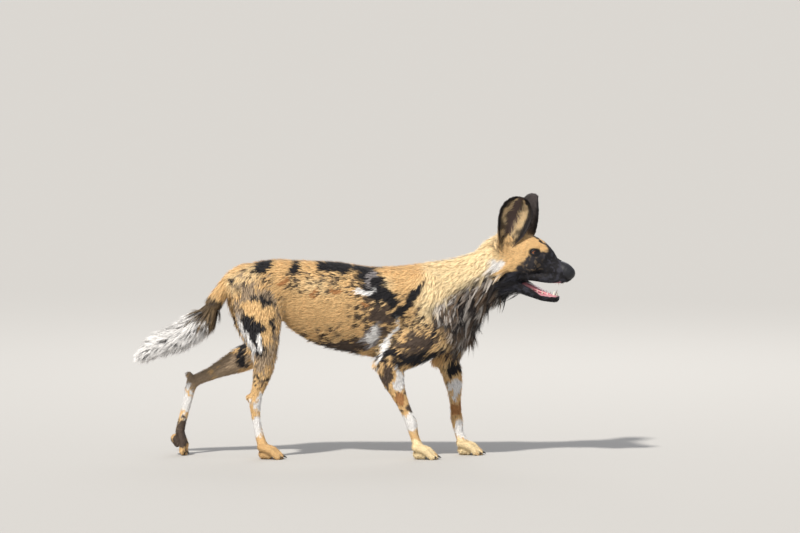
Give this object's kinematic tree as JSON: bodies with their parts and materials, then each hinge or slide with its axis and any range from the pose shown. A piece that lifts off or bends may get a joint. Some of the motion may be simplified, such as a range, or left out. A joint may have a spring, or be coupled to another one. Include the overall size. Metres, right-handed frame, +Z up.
{
  "type": "african wild dog",
  "caption": "Standing african wild dog in mid-stride with round ears, open mouth, patched coat, shaggy ruff and bushy tail.",
  "frame": {"origin": "centre of the bounding box in plan, on the floor", "axes": "+X towards the nose, +Y towards the left flank, +Z up"},
  "size_m": [1.2314, 0.188, 0.7389],
  "materials": {
    "coat": "short matt fur in tan, black and white patches",
    "tail_hair": "long matt hair, tan and black at the root, white beyond",
    "ear": "thin dark skin with short fur",
    "eye": "wet, glossy, brown",
    "nose_skin": "moist black skin",
    "jaw_skin": "black lip and chin, with white teeth",
    "tongue": "wet pink"
  },
  "bodies": {
    "root": {"ear_left": "ear", "ear_right": "ear", "eye_left": "eye", "eye_right": "eye", "foreleg_left_foot": "coat", "foreleg_left_forearm": "coat", "foreleg_left_upper_arm": "coat", "foreleg_right_foot": "coat", "foreleg_right_forearm": "coat", "foreleg_right_upper_arm": "coat", "head": "coat", "hindleg_left_foot": "coat", "hindleg_left_shank": "coat", "hindleg_left_thigh": "coat", "hindleg_right_foot": "coat", "hindleg_right_shank": "coat", "hindleg_right_thigh": "coat", "lower_jaw": "jaw_skin", "neck": "coat", "nose": "nose_skin", "tail": "tail_hair", "tongue": "tongue", "torso_chest": "coat", "torso_loin": "coat", "torso_rump": "coat"}
  },
  "joints": []
}
